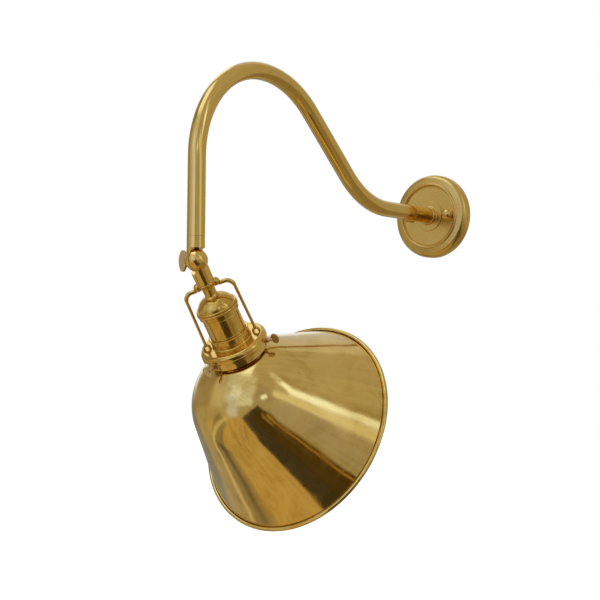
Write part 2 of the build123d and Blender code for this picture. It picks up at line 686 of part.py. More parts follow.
# ---- output ------------------------------------------------------------------------------------
PARTS = {
    "rose": rose(),
    "mounting_bracket": mounting_bracket(),
    "cable_grommet": cable_grommet(),
    "rose_stud_left": rose_stud(-1),
    "rose_stud_right": rose_stud(1),
    "dome_nut_left": dome_nut(-1),
    "dome_nut_right": dome_nut(1),
    "terminal_block": terminal_block(),
    "terminal_screws": terminal_screws(),
    "earth_screw": earth_screw(),
    "arm_flange": arm_flange(),
    "gooseneck_arm": gooseneck_arm(),
    "arm_plug": arm_plug(),
    "arm_nipple": arm_nipple(),
    "lock_washer": lock_washer(),
    "arm_locknut": arm_locknut(),
    "arm_flex": arm_flex(),
    "knuckle_upper": knuckle_upper(),
    "friction_washer": friction_washer(),
    "knuckle_thumbscrew": knuckle_thumbscrew(),
    "knuckle_lower": knuckle_lower(),
    "neck_collar": neck_collar(),
    "support_rod_left": support_rod(-1),
    "support_rod_right": support_rod(1),
    "neck_nipple": neck_nipple(),
    "neck_locknut": neck_locknut(),
    "head_flex": head_flex(),
    "socket_cap": socket_cap(),
    "socket_shell": socket_shell(),
    "shell_liner": shell_liner(),
    "socket_husk": socket_husk(),
    "retaining_ring": retaining_ring(),
    "gallery": gallery(),
    "gallery_screw_right": gallery_screw(0),
    "gallery_screw_back": gallery_screw(1),
    "gallery_screw_front": gallery_screw(2),
    "shade": shade(),
    "rim_bead": rim_bead(),
    "rim_wire": rim_wire(),
    "shade_neck": shade_neck(),
    "lampholder_core": lampholder_core(),
    "holder_screws": holder_screws(),
    "screw_shell": screw_shell(),
    "centre_contact": centre_contact(),
    "lamp_cap": lamp_cap(),
    "lamp_glass": lamp_glass(),
}

os.makedirs("parts", exist_ok=True)
for name, part in PARTS.items():
    export_step(part, f"parts/{name}.step")
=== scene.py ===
"""A brass picture light: visual model, materials, light and camera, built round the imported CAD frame."""
import bmesh
import bpy
import json
from math import acos, atan2, ceil, cos, degrees, hypot, pi, radians, sin
from mathutils import Matrix, Vector, noise
from random import Random


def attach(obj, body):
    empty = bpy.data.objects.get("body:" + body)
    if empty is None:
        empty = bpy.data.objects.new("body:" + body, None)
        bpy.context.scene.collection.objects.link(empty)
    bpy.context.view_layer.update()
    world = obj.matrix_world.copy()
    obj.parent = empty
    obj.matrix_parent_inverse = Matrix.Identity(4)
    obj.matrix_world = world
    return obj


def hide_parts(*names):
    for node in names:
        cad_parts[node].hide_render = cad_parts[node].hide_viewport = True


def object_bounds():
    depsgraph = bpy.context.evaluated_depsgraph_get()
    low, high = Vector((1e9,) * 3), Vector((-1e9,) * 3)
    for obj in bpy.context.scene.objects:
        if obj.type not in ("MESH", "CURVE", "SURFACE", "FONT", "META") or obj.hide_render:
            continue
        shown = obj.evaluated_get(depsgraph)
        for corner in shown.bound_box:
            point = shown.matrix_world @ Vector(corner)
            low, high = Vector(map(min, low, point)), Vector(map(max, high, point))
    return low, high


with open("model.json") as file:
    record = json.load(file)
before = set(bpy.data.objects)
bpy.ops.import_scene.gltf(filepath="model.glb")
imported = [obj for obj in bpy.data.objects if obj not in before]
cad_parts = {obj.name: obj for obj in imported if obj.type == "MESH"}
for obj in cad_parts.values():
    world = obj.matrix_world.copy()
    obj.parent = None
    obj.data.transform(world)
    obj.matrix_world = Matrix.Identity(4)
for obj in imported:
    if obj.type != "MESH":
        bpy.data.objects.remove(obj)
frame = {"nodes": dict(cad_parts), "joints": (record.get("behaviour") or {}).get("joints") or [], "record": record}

CAD_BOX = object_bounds()
MM = 0.001

# ---- the light's own frames --------------------------------------------------------------------
# Angles are in degrees and lengths in millimetres, until MM turns them into metres.
JOINTS = {joint["name"]: joint for joint in frame["joints"]}
PIVOT = Vector(JOINTS["head_tilt"]["pos_m"])
NECK_TILT = 35.8
SHADE_TILT = 67.0
DOME_CENTRE = 193.7  # along the neck, from the knuckle's pivot


def axes(origin, x, y, z):
    """A placement whose local axes are x, y and z."""
    turn = Matrix((x, y, z)).transposed().to_4x4()
    return Matrix.Translation(origin) @ turn


def hanging(origin, tilt):
    """Local z hangs down and leans toward the wall by tilt degrees; local x stays X."""
    lean = radians(tilt)
    z = Vector((0, sin(lean), -cos(lean)))
    x = Vector((1, 0, 0))
    return axes(origin, x, z.cross(x), z)


WALL = axes(Vector((0, 0, 0)), Vector((1, 0, 0)), Vector((0, 0, 1)), Vector((0, -1, 0)))
NECK = hanging(PIVOT, NECK_TILT)
SHADE = hanging(NECK @ Vector((0, 0, DOME_CENTRE * MM)), SHADE_TILT)


# ---- outlines ----------------------------------------------------------------------------------
def bend(start, middle, end, step=4.0):
    """Points along the arc through three points, one every few degrees."""
    (ax, ay), (bx, by), (cx, cy) = start, middle, end
    aa, bb, cc = ax * ax + ay * ay, bx * bx + by * by, cx * cx + cy * cy
    d = 2 * (ax * (by - cy) + bx * (cy - ay) + cx * (ay - by))
    ux = (aa * (by - cy) + bb * (cy - ay) + cc * (ay - by)) / d
    uy = (aa * (cx - bx) + bb * (ax - cx) + cc * (bx - ax)) / d
    radius = hypot(ax - ux, ay - uy)
    a0, a1, a2 = (atan2(y - uy, x - ux) for x, y in (start, middle, end))
    sweep = (a2 - a0) % (2 * pi)
    if (a1 - a0) % (2 * pi) > sweep:
        sweep -= 2 * pi
    count = max(2, ceil(abs(degrees(sweep)) / step))
    return [(ux + radius * cos(a0 + sweep * i / count), uy + radius * sin(a0 + sweep * i / count))
            for i in range(count + 1)]


def soften(points, radius, sharp=20.0, steps=4, closed=True):
    """The outline with each sharp corner rounded, by at most 0.45 of the shorter line beside it."""
    out = []
    count = len(points)
    for i, point in enumerate(points):
        here = Vector(point)
        if not closed and i in (0, count - 1):
            out.append(point)
            continue
        back, ahead = Vector(points[i - 1]) - here, Vector(points[(i + 1) % count]) - here
        turn = pi - back.angle(ahead, 0)
        if turn < radians(sharp) or here.x < 1e-6:
            out.append(point)
            continue
        cut = min(radius * abs(sin(turn / 2) / cos(turn / 2)), 0.45 * back.length, 0.45 * ahead.length)
        a, b = here + back.normalized() * cut, here + ahead.normalized() * cut
        for k in range(steps + 1):
            t = k / steps
            q = a * (1 - t) ** 2 + here * 2 * t * (1 - t) + b * t ** 2
            out.append((q.x, q.y))
    return out


# ---- making pieces -----------------------------------------------------------------------------
def made_mesh(name, bm):
    """The mesh that a finished bmesh describes."""
    mesh = bpy.data.meshes.new(name)
    bm.to_mesh(mesh)
    bm.free()
    return mesh


def finish_piece(name, mesh, place, body, material, nodes):
    """A mesh object at its place, riding its body and standing for its CAD nodes."""
    piece = bpy.data.objects.new(name, mesh)
    bpy.context.collection.objects.link(piece)
    piece.matrix_world = place
    mesh.materials.append(material)
    mesh.shade_smooth()
    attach(piece, body)
    if nodes:
        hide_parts(*nodes)
    keep_flats = piece.modifiers.new("flats", "WEIGHTED_NORMAL")
    keep_flats.keep_sharp = True
    keep_flats.weight = 80
    return piece


def lathe_mesh(name, outline, segments=192, closed=True, wobble=None, foot=None):
    """A mesh turned about local z from (radius, height) points in millimetres.

    foot(angle, radius, height) gives a new height, and wobble gives a new radius and height.
    """
    bm = bmesh.new()
    rings = []
    for radius, height in outline:
        if radius < 1e-6:
            rings.append([bm.verts.new((0, 0, height * MM))])
            continue
        ring = []
        for k in range(segments):
            angle = 2 * pi * k / segments
            r, h = radius, height
            if foot:
                h = foot(angle, r, h)
            if wobble:
                r, h = wobble(angle, r, h)
            ring.append(bm.verts.new((r * cos(angle) * MM, r * sin(angle) * MM, h * MM)))
        rings.append(ring)
    pairs = list(zip(rings, rings[1:] + rings[:1])) if closed else list(zip(rings, rings[1:]))
    for low, high in pairs:
        if len(low) == 1 and len(high) == 1:
            continue
        for k in range(segments):
            j = (k + 1) % segments
            if len(low) == 1:
                bm.faces.new((low[0], high[k], high[j]))
            elif len(high) == 1:
                bm.faces.new((low[k], high[0], low[j]))
            else:
                bm.faces.new((low[k], high[k], high[j], low[j]))
    bmesh.ops.recalc_face_normals(bm, faces=bm.faces)
    return made_mesh(name, bm)


def lathe(name, place, outline, body, material, slot, nodes, edge=0.35, **shape):
    """A turned piece with its sharp corners eased."""
    mesh = lathe_mesh(name, soften(outline, edge, closed=shape.get("closed", True)), **shape)
    return finish_piece(name, mesh, place, body, material, nodes)


def tube_mesh(name, line, side, radius, around=48, caps=True):
    """A tube along a flat line of (point, direction) pairs, with side the line plane's normal."""
    bm = bmesh.new()
    rings = []
    for index, (point, along) in enumerate(line):
        size = radius(index / (len(line) - 1)) if callable(radius) else radius
        out = along.cross(side).normalized()
        ring = []
        for k in range(around):
            angle = 2 * pi * k / around
            ring.append(bm.verts.new(point + (out * cos(angle) + side * sin(angle)) * size))
        rings.append(ring)
    for low, high in zip(rings, rings[1:]):
        for k in range(around):
            j = (k + 1) % around
            bm.faces.new((low[k], low[j], high[j], high[k]))
    if caps:
        bm.faces.new(rings[0][::-1])
        bm.faces.new(rings[-1])
    bmesh.ops.recalc_face_normals(bm, faces=bm.faces)
    return made_mesh(name, bm)


def walk(start, heading, steps, pace=2.0):
    """A flat line of straight runs and arcs, as (x, y, heading) triples with the heading in radians.

    Steps are (length,) or (radius, angle). An arc has a point every pace degrees, and a run has one
    every six times pace millimetres.
    """
    x, y, head = start[0], start[1], radians(heading)
    line = [(x, y, head)]
    for step in steps:
        if len(step) == 1:
            count = max(1, ceil(step[0] / (6 * pace)))
            for _ in range(count):
                x += step[0] / count * cos(head)
                y += step[0] / count * sin(head)
                line.append((x, y, head))
        else:
            radius, angle = step
            count = max(2, ceil(abs(angle) / pace))
            turn = radians(angle) / count
            chord = 2 * radius * sin(abs(turn) / 2)
            for _ in range(count):
                x += chord * cos(head + turn / 2)
                y += chord * sin(head + turn / 2)
                head += turn
                line.append((x, y, head))
    return line


# ---- materials ---------------------------------------------------------------------------------
class Nodes:
    """A short way to add nodes to one node tree."""

    def __init__(self, tree):
        self.tree = tree

    def node(self, kind, **settings):
        made = self.tree.nodes.new(kind)
        for key, value in settings.items():
            setattr(made, key, value)
        return made

    def join(self, value, socket):
        if hasattr(value, "is_output"):
            self.tree.links.new(value, socket)
        else:
            socket.default_value = value

    def math(self, operation, a, b=0.0):
        made = self.node("ShaderNodeMath", operation=operation)
        for value, socket in zip((a, b), made.inputs):
            self.join(value, socket)
        return made.outputs[0]

    def parts(self, vector):
        """The x, y and z of a vector or colour."""
        apart = self.node("ShaderNodeSeparateXYZ")
        self.join(vector, apart.inputs[0])
        return apart.outputs

    def vector(self, *parts):
        made = self.node("ShaderNodeCombineXYZ")
        for value, socket in zip(parts, made.inputs):
            self.join(value, socket)
        return made.outputs[0]

    def mix(self, factor, a, b, blend="MIX"):
        made = self.node("ShaderNodeMix", data_type="RGBA", blend_type=blend)
        self.join(factor, made.inputs["Factor"])
        for value, socket in ((a, made.inputs[6]), (b, made.inputs[7])):
            self.join((*value, 1) if isinstance(value, tuple) else value, socket)
        return made.outputs[2]


class Surface(Nodes):
    """One material, built round its Principled shader."""

    def __init__(self, name):
        self.material = bpy.data.materials.new(name)
        self.material.use_nodes = True
        super().__init__(self.material.node_tree)
        self.shader = self.tree.nodes["Principled BSDF"]
        self.where = self.node("ShaderNodeTexCoord").outputs["Object"]

    def stretch(self, scale, vector=None):
        """The coordinates scaled by three factors."""
        made = self.node("ShaderNodeMapping")
        self.join(vector or self.where, made.inputs["Vector"])
        made.inputs["Scale"].default_value = scale
        return made.outputs[0]

    def off_axis(self, x, y):
        """The distance from local z."""
        return self.math("SQRT", self.math("ADD", self.math("MULTIPLY", x, x), self.math("MULTIPLY", y, y)))

    def round(self):
        """(distance from the axis, height, 0) for turned pieces, whose axis is local z."""
        x, y, z = self.parts(self.where)
        return self.vector(self.off_axis(x, y), z)

    def meridians(self, around, down):
        """Coordinates that vary fast round local z and slowly along it, without a seam."""
        x, y, z = self.parts(self.where)
        radius = self.math("MAXIMUM", self.off_axis(x, y), 0.004)
        east, north = (self.math("MULTIPLY", self.math("DIVIDE", part, radius), around) for part in (x, y))
        return self.vector(east, north, self.math("MULTIPLY", z, down))

    def noise(self, scale, vector=None, detail=3.0, rough=0.5, distort=0.0):
        made = self.node("ShaderNodeTexNoise")
        self.join(vector or self.where, made.inputs["Vector"])
        settings = {"Scale": scale, "Detail": detail, "Roughness": rough, "Distortion": distort}
        for key, value in settings.items():
            made.inputs[key].default_value = value
        return made.outputs["Fac"]

    def ramp(self, value, stops):
        """A colour ramp: stops are (position, colour)."""
        made = self.node("ShaderNodeValToRGB")
        self.join(value, made.inputs[0])
        band = made.color_ramp
        while len(band.elements) < len(stops):
            band.elements.new(0.5)
        for element, (at, colour) in zip(band.elements, stops):
            element.position = at
            element.color = (*colour, 1)
        return made.outputs[0]

    def spread(self, value, low, high, to_low, to_high):
        """The value, moved from the range low to high onto another range."""
        made = self.node("ShaderNodeMapRange")
        self.join(value, made.inputs["Value"])
        for key, number in {"From Min": low, "From Max": high, "To Min": to_low, "To Max": to_high}.items():
            made.inputs[key].default_value = number
        return made.outputs[0]

    def bump(self, height, strength, distance, normal=None):
        made = self.node("ShaderNodeBump")
        self.join(height, made.inputs["Height"])
        made.inputs["Strength"].default_value = strength
        made.inputs["Distance"].default_value = distance
        if normal is not None:
            self.join(normal, made.inputs["Normal"])
        return made.outputs[0]

    def set(self, **inputs):
        """Sets the shader's inputs, as base_color for its Base Color."""
        for key, value in inputs.items():
            self.join(value, self.shader.inputs[key.replace("_", " ").title()])
        return self.material


def brass(name, bright, warm, dull, roughness, spread=0.06, lines=0.0, dents=0.0, turned=False, blotch=35.0,
          anisotropy=0.0, stains_and_sheen=False):
    """Brass with tone drifting between three colours, fine polishing marks and soft dents.

    Some brass also has cloudy stains, and faint streaks along the piece that are painted reflection: lighter,
    bluish bands and darker ones.
    """
    s = Surface(name)
    drift = s.noise(blotch, detail=4.0, rough=0.6, distort=0.4)
    fine = s.noise(blotch * 9, detail=5.0, rough=0.65)
    tone = s.math("ADD", s.math("MULTIPLY", drift, 0.75), s.math("MULTIPLY", fine, 0.25))
    colour = s.ramp(tone, [(0.30, dull), (0.50, bright), (0.72, warm)])
    marks_at = s.stretch((2600, 2600, 1), s.round()) if turned else s.stretch((900, 900, 60))
    marks = s.noise(1.0, marks_at, detail=3.0, rough=0.7)
    smear = s.spread(drift, 0.3, 0.7, roughness - spread / 2, roughness + spread / 2)
    if stains_and_sheen:
        # painted reflection: faint lighter and darker streaks along the piece, standing in for reflected bands
        sheen_streaks = s.noise(1.0, s.meridians(26, 9), detail=5.0, rough=0.7, distort=0.3)
        cloud = s.noise(22.0, detail=6.0, rough=0.62, distort=1.2)
        stain_and_sheen = s.math("ADD", s.math("MULTIPLY", sheen_streaks, 0.30), s.math("MULTIPLY", cloud, 0.70))
        # colour from real cloudy stains and painted sheen: darker and warmer at one end, lighter and bluish at the
        # other
        stain_and_sheen_tint = s.ramp(stain_and_sheen, [(0.38, (0.84, 0.80, 0.64)), (0.50, (1.0, 1.0, 1.0)),
                              (0.62, (1.08, 1.10, 1.12))])
        colour = s.mix(1.0, colour, stain_and_sheen_tint, "MULTIPLY")
        smear = s.math("ADD", smear, s.spread(cloud, 0.35, 0.70, -0.03, 0.07))
    rough = s.math("ADD", smear, s.math("MULTIPLY", s.math("SUBTRACT", marks, 0.5), spread))
    normal = s.bump(s.noise(28.0, detail=1.0), dents, 0.002) if dents else None
    normal = s.bump(marks, lines, 0.0001, normal)
    s.set(base_color=colour, metallic=1.0, roughness=rough, normal=normal)
    if anisotropy:
        tangent = s.node("ShaderNodeTangent", direction_type="RADIAL", axis="Z")
        s.join(tangent.outputs[0], s.shader.inputs["Tangent"])
        s.set(anisotropic=anisotropy)
    return s.material


GOLD = (0.800, 0.545, 0.155)
WARM = (0.820, 0.520, 0.135)
DULL = (0.720, 0.510, 0.160)
POLISHED = brass("polished_brass", GOLD, WARM, DULL, 0.14, lines=0.12, blotch=40)
HOLDER_BRASS = brass("holder_brass", (0.76, 0.49, 0.11), (0.78, 0.45, 0.08), (0.64, 0.42, 0.11), 0.17,
                     spread=0.08, lines=0.20, turned=True, blotch=70, stains_and_sheen=True)
ARM_BRASS = brass("arm_brass", GOLD, WARM, DULL, 0.12, lines=0.10, dents=0.04, blotch=25)
SPUN = brass("spun_brass", (0.80, 0.56, 0.17), (0.82, 0.53, 0.14), (0.76, 0.56, 0.19), 0.10, lines=0.06,
             dents=0.06, turned=True, blotch=14, stains_and_sheen=True)
TURNED = brass("turned_brass", (0.74, 0.50, 0.14), (0.76, 0.46, 0.12), (0.62, 0.42, 0.12), 0.25, spread=0.10,
               lines=0.35, turned=True, blotch=45, anisotropy=0.45)
SATIN = brass("satin_brass", (0.72, 0.50, 0.22), (0.74, 0.46, 0.21), (0.62, 0.45, 0.20), 0.36, spread=0.10,
              lines=0.30, blotch=120)
PLAIN = brass("plain_brass", (0.78, 0.57, 0.24), (0.80, 0.54, 0.22), (0.66, 0.50, 0.23), 0.28, lines=0.25,
              blotch=90)


def zinc_steel():
    s = Surface("zinc_steel")
    spangle = s.noise(260.0, detail=4.0)
    tone = s.ramp(spangle, [(0.3, (0.50, 0.51, 0.51)), (0.7, (0.68, 0.68, 0.66))])
    return s.set(base_color=tone, metallic=1.0,
                 roughness=s.spread(spangle, 0.3, 0.7, 0.28, 0.42), normal=s.bump(spangle, 0.15, 0.0001))


def speckled(name, colour, other, roughness, grain, height):
    """A plain moulded, rubber or fibre surface with grain."""
    s = Surface(name)
    grains = s.noise(grain, detail=5.0, rough=0.6)
    return s.set(base_color=s.ramp(grains, [(0.35, colour), (0.65, other)]),
                 roughness=s.spread(grains, 0.3, 0.7, roughness - 0.05, roughness + 0.05),
                 normal=s.bump(grains, height, 0.0002))


def glazed_ceramic():
    s = Surface("glazed_ceramic")
    cloud = s.noise(60.0, detail=3.0)
    tone = s.ramp(cloud, [(0.3, (0.80, 0.78, 0.72)), (0.7, (0.88, 0.87, 0.82))])
    return s.set(base_color=tone, roughness=0.12, coat_weight=0.5, normal=s.bump(cloud, 0.05, 0.0004))


def nickel():
    s = Surface("nickel")
    marks = s.noise(1.0, s.stretch((300, 300, 1800)), detail=3.0)
    tone = s.ramp(marks, [(0.3, (0.60, 0.59, 0.56)), (0.7, (0.72, 0.70, 0.66))])
    return s.set(base_color=tone, metallic=1.0,
                 roughness=s.spread(marks, 0.3, 0.7, 0.20, 0.32), normal=s.bump(marks, 0.1, 0.0001))


def opal_glass():
    s = Surface("opal_glass")
    cloud = s.noise(30.0, detail=2.0)
    tone = s.ramp(cloud, [(0.3, (0.90, 0.89, 0.86)), (0.7, (0.95, 0.945, 0.93))])
    return s.set(base_color=tone, roughness=0.18, subsurface_weight=0.3, coat_weight=0.4,
                 normal=s.bump(cloud, 0.02, 0.0004))


SLOT_MATERIALS = {
    "polished_brass": POLISHED,
    "aged_brass": SPUN,
    "turned_brass": TURNED,
    "satin_brass": SATIN,
    "plain_brass": PLAIN,
    "zinc_steel": zinc_steel(),
    "black_rubber": speckled("black_rubber", (0.02, 0.02, 0.02), (0.04, 0.04, 0.04), 0.7, 900.0, 0.3),
    "fibre": speckled("fibre", (0.20, 0.09, 0.05), (0.30, 0.14, 0.08), 0.6, 700.0, 0.3),
    "insulating_plastic": speckled("insulating_plastic", (0.78, 0.76, 0.70), (0.84, 0.82, 0.76), 0.45, 1200.0,
                                   0.1),
    "flex_sheath": speckled("flex_sheath", (0.72, 0.68, 0.58), (0.78, 0.74, 0.64), 0.5, 900.0, 0.1),
    "glazed_ceramic": glazed_ceramic(),
    "nickel": nickel(),
    "opal_glass": opal_glass(),
}
NODE_SLOT = {part["node"]: part["material_slot"] for part in frame["record"]["subparts"]}
for node_name, node in frame["nodes"].items():
    for index in range(len(node.material_slots)):
        node.material_slots[index].material = SLOT_MATERIALS[NODE_SLOT[node_name]]


# ---- rose and arm ------------------------------------------------------------------------------
def rose():
    """The turned rose: rounded side, sloping flange, proud bead with a groove each side, sunk face."""
    outline = [(5.1, 13.5), (5.1, 15.0), (38.4, 15.0), (39.2, 14.5), (39.9, 14.5), (40.3, 15.4)]
    outline += bend((40.4, 16.0), (41.9, 17.6), (43.3, 16.2), 14)
    outline += [(43.6, 15.7), (44.4, 15.75)]
    outline += bend((49.6, 14.6), (53.4, 11.9), (54.9, 8.0), 3)
    outline += [(54.9, 0.0), (53.4, 0.0), (53.4, 8.0), (48.8, 12.9), (41.9, 14.3), (38.6, 13.5)]
    return lathe("rose_shell", WALL, outline, "wall_side", TURNED, "turned_brass", ["rose"], edge=0.3,
                 segments=256)


def arm_flange():
    """The turned flange the arm stands on, with a stepped hub."""
    outline = [(5.1, 15.0), (20.0, 15.0), (20.0, 16.4), (12.9, 16.6), (12.2, 17.2), (12.2, 18.6)]
    outline += bend((12.0, 19.2), (11.8, 20.1), (11.1, 20.5), 15)
    outline += [(10.05, 20.5), (10.05, 16.6), (5.1, 16.6)]
    return lathe("arm_flange_turned", WALL, outline, "wall_side", TURNED, "turned_brass", ["arm_flange"],
                 edge=0.5)


def gooseneck_arm():
    """The bent tube, open at both ends, with its wall."""
    start, tube_r, wall_thick = 16.7, 10.0, 1.2
    end_step = 0.4  # a short run at each end keeps the shading true up to the edge
    line = walk((start, 0), 0, [(end_step,), (95.5,), (127.0, 42.2), (101.3,), (128.2, -44.7),
                                (109.8, -87.5), (87.3,), (end_step,)], 1.5)
    line = [(Vector((0, -x, y)) * MM, Vector((0, -cos(head), sin(head)))) for x, y, head in line]
    side = Vector((1, 0, 0))
    outer = tube_mesh("gooseneck_tube", line, side, tube_r * MM, around=96, caps=False)
    piece = finish_piece("gooseneck_tube", outer, Matrix.Identity(4), "wall_side", ARM_BRASS,
                         ["gooseneck_arm"])
    wall = piece.modifiers.new("wall", "SOLIDIFY")
    wall.thickness = wall_thick * MM
    wall.offset = -1
    return piece


rose()
arm_flange()
gooseneck_arm()


# ---- lampholder --------------------------------------------------------------------------------
ROD_AZIMUTH = -36.0


def socket_cap():
    """The bell cap, drawn up to the neck, with two beads round its rim."""
    outline = [(5.05, 38.0), (7.1, 38.0), (6.8, 42.0)]
    outline += bend((6.8, 42.0), (7.9, 44.8), (10.6, 46.4), 8)[1:]
    outline += bend((10.6, 46.4), (17.4, 50.8), (21.2, 57.4), 3)[1:]
    outline += bend((21.2, 57.4), (23.4, 58.4), (21.9, 59.8), 12)[1:]
    outline += bend((21.9, 59.8), (24.0, 61.3), (23.0, 62.9), 12)[1:]
    outline += [(23.0, 66.5), (22.5, 67.0), (21.05, 67.0), (21.05, 60.0), (20.4, 59.0)]
    outline += bend((20.4, 59.0), (16.4, 52.4), (9.8, 48.0), 6)[1:]
    outline += [(5.05, 47.0)]
    return lathe("socket_bell", NECK, outline, "head", HOLDER_BRASS, "polished_brass", ["socket_cap"],
                 edge=0.25)


def socket_shell():
    """The plain barrel, with a fine drawn line near each end."""
    outline = [(19.6, 60.2), (21.0, 60.2), (21.0, 69.0), (20.8, 69.3), (21.0, 69.6), (21.0, 90.6),
               (20.8, 90.9), (21.0, 91.2), (21.0, 92.4), (20.3, 92.4), (20.3, 109.0), (19.6, 109.0)]
    return lathe("socket_barrel", NECK, outline, "head", HOLDER_BRASS, "polished_brass", ["socket_shell"],
                 edge=0.2)


def socket_husk():
    """The sleeve under the barrel, with a rolled lip and a flared foot."""
    outline = [(20.35, 92.5), (22.9, 92.5)]
    outline += bend((22.9, 92.5), (23.4, 93.1), (22.9, 93.7), 20)[1:]
    outline += [(22.4, 94.3), (22.7, 102.4)]
    outline += bend((22.7, 102.4), (22.95, 103.6), (23.6, 104.1), 15)[1:]
    outline += [(20.35, 104.1)]
    return lathe("socket_sleeve", NECK, outline, "head", HOLDER_BRASS, "polished_brass", ["socket_husk"],
                 edge=0.2)


def neck_collar():
    """The collar under the stem: a bead, a waist, and a ball lug each side."""
    outline = [(5.05, 27.0), (9.7, 27.0), (9.9, 28.2)]
    outline += bend((9.9, 28.2), (10.7, 29.2), (9.9, 30.2), 15)[1:]
    outline += bend((9.0, 30.8), (7.6, 33.6), (7.2, 38.0), 6) + [(5.05, 38.0)]
    lug_out, lug_s, lug_r = 10.2, 31.0, 4.9
    bm = bmesh.new()
    bm.from_mesh(lathe_mesh("collar", soften(outline, 0.3), segments=96))
    for azimuth in (ROD_AZIMUTH, ROD_AZIMUTH + 180):
        turn = radians(azimuth)
        middle = Vector((lug_out * cos(turn), lug_out * sin(turn), lug_s)) * MM
        bmesh.ops.create_uvsphere(bm, u_segments=40, v_segments=24, radius=lug_r * MM,
                                  matrix=Matrix.Translation(middle))
    return finish_piece("collar_with_lugs", made_mesh("collar", bm), NECK, "head", HOLDER_BRASS,
                        ["neck_collar"])


SCREW_AZIMUTHS = (-22.0, -142.0, -262.0)


def gallery():
    """The shade carrier: a plate with a rounded shoulder and a skirt, notched beside each screw tab."""
    foot_s, tab_s, notch_s, between_s = 115.4, 117.2, 111.6, 114.4
    skirt_foot_from = 113
    tab_half, notch_end = 9, 25
    outline = [(20.4, 104.1), (32.6, 104.1), (33.4, 104.0)]
    outline += bend((33.4, 104.0), (37.0, 105.3), (38.5, 108.6), 6)[1:]
    outline += [(38.4, 110.2), (38.7, 110.6), (38.6, foot_s), (37.2, foot_s), (37.2, 108.9)]
    outline += bend((37.2, 108.9), (36.0, 106.4), (33.1, 105.3), 12)[1:] + [(20.4, 105.3)]

    def foot(angle, radius, height):
        """Only the skirt's lower edge moves, to the level that its place round the gallery calls for."""
        if height < skirt_foot_from:
            return height
        off = min(abs((degrees(angle) - screw + 180) % 360 - 180) for screw in SCREW_AZIMUTHS)
        level = tab_s if off < tab_half else notch_s if off < notch_end else between_s
        return height + level - foot_s

    return lathe("notched_gallery", NECK, outline, "head", HOLDER_BRASS, "polished_brass", ["gallery"],
                 edge=0.3, segments=480, foot=foot)


socket_cap()
socket_shell()
socket_husk()
neck_collar()
gallery()


# ---- support rods ------------------------------------------------------------------------------
def support_rod(name, azimuth, node):
    """A bent rod, drawn thinner toward its foot, where the wire is curled into an eye through the gallery."""
    eye_r, eye_s, foot_out, top_out, top_s = 3.4, 103.0, 29.4, 27.8, 34.0
    thick, thin, wire = 2.4, 1.6, 1.5
    taper_from, taper_over = 0.72, 0.26
    end_s = eye_s - eye_r
    lean = degrees(atan2(foot_out - top_out, end_s - top_s))
    bend_r, start, corner_turn = 9.0, 13.0, 90 - lean
    reach = bend_r * sin(radians(corner_turn)) / (1 + cos(radians(corner_turn)))
    drop = (end_s + 1.2 - top_s) / cos(radians(lean)) - reach
    line = walk((start, top_s), 0, [(top_out - reach - start,), (bend_r, corner_turn), (drop,)], 0.8)
    curl = [(foot_out + eye_r * sin(a), eye_s - eye_r * cos(a), a)
            for a in (radians(d) for d in range(8, 352, 8))]
    out = Vector((cos(radians(azimuth)), sin(radians(azimuth)), 0))
    side = Vector((sin(radians(azimuth)), -cos(radians(azimuth)), 0))
    lift = Vector((0, 0, 1))

    def placed(points):
        return [((out * x + lift * y) * MM, (out * cos(h) + lift * sin(h))) for x, y, h in points]

    def radius(t):
        taper = min(1.0, max(0.0, (t - taper_from) / taper_over))
        return (thick - (thick - thin) * taper * taper * (3 - 2 * taper)) * MM

    bm = bmesh.new()
    for points, size in ((line, radius), (curl, wire * MM)):
        bm.from_mesh(tube_mesh(name, placed(points), side, size, around=32))
    return finish_piece(name, made_mesh(name, bm), NECK, "head", POLISHED, [node])


support_rod("hooked_rod_left", ROD_AZIMUTH + 180, "support_rod_left")
support_rod("hooked_rod_right", ROD_AZIMUTH, "support_rod_right")


# ---- shade -------------------------------------------------------------------------------------
DOME_R = 79.0
EDGE_R = 123.0
RIM_DEPTH = 65.5
RIM_R = 127.0
SHEET = 1.0
NECK_HOLE_R = 33.0


def hand_spun(angle, radius, height):
    """Moves a point in or out by a fraction of a millimetre, as a hand-spun sheet varies."""
    place = Vector((radius * cos(angle), radius * sin(angle), height))
    fade = min(1.0, max(0.0, (RIM_DEPTH - 4 - height) / 25)) * min(1.0, radius / 30)
    push = (noise.noise(place / 46) * 0.32 + noise.noise(place / 19 + Vector((7, 3, 1))) * 0.07) * fade
    return radius + push, height + push * 0.4


def shade():
    """The spun sheet, outside and inside: part of a ball, then a cone to the rim, with the neck's hole."""
    reach = hypot(EDGE_R, RIM_DEPTH)
    touch = acos(RIM_DEPTH / reach) + acos(DOME_R / reach)

    def side(radius, edge):
        pole_to_touch = [(radius * sin(a), radius * cos(a))
                         for a in (pi + (touch - pi) * k / 60 for k in range(61))]
        end = (edge, RIM_DEPTH)
        first = pole_to_touch[-1]
        cone = [(first[0] + (end[0] - first[0]) * k / 40, first[1] + (end[1] - first[1]) * k / 40)
                for k in range(1, 41)]
        return pole_to_touch + cone

    outer = side(DOME_R, EDGE_R)
    outer[0] = (0, -DOME_R)
    inner = side(DOME_R - SHEET, EDGE_R - SHEET / sin(touch))
    inner[0] = (0, -(DOME_R - SHEET))
    outline = outer + inner[::-1]
    mesh = lathe_mesh("spun_shade", outline, segments=360, closed=False, wobble=hand_spun)
    bm = bmesh.new()
    bm.from_mesh(mesh)
    to_neck = NECK.inverted() @ SHADE
    away = [v for v in bm.verts
            if (to_neck @ v.co).xy.length < NECK_HOLE_R * MM and (to_neck @ v.co).z < DOME_CENTRE * MM]
    bmesh.ops.delete(bm, geom=away, context="VERTS")
    bm.to_mesh(mesh)
    bm.free()
    return finish_piece("spun_shade", mesh, SHADE, "head", SPUN, ["shade"])


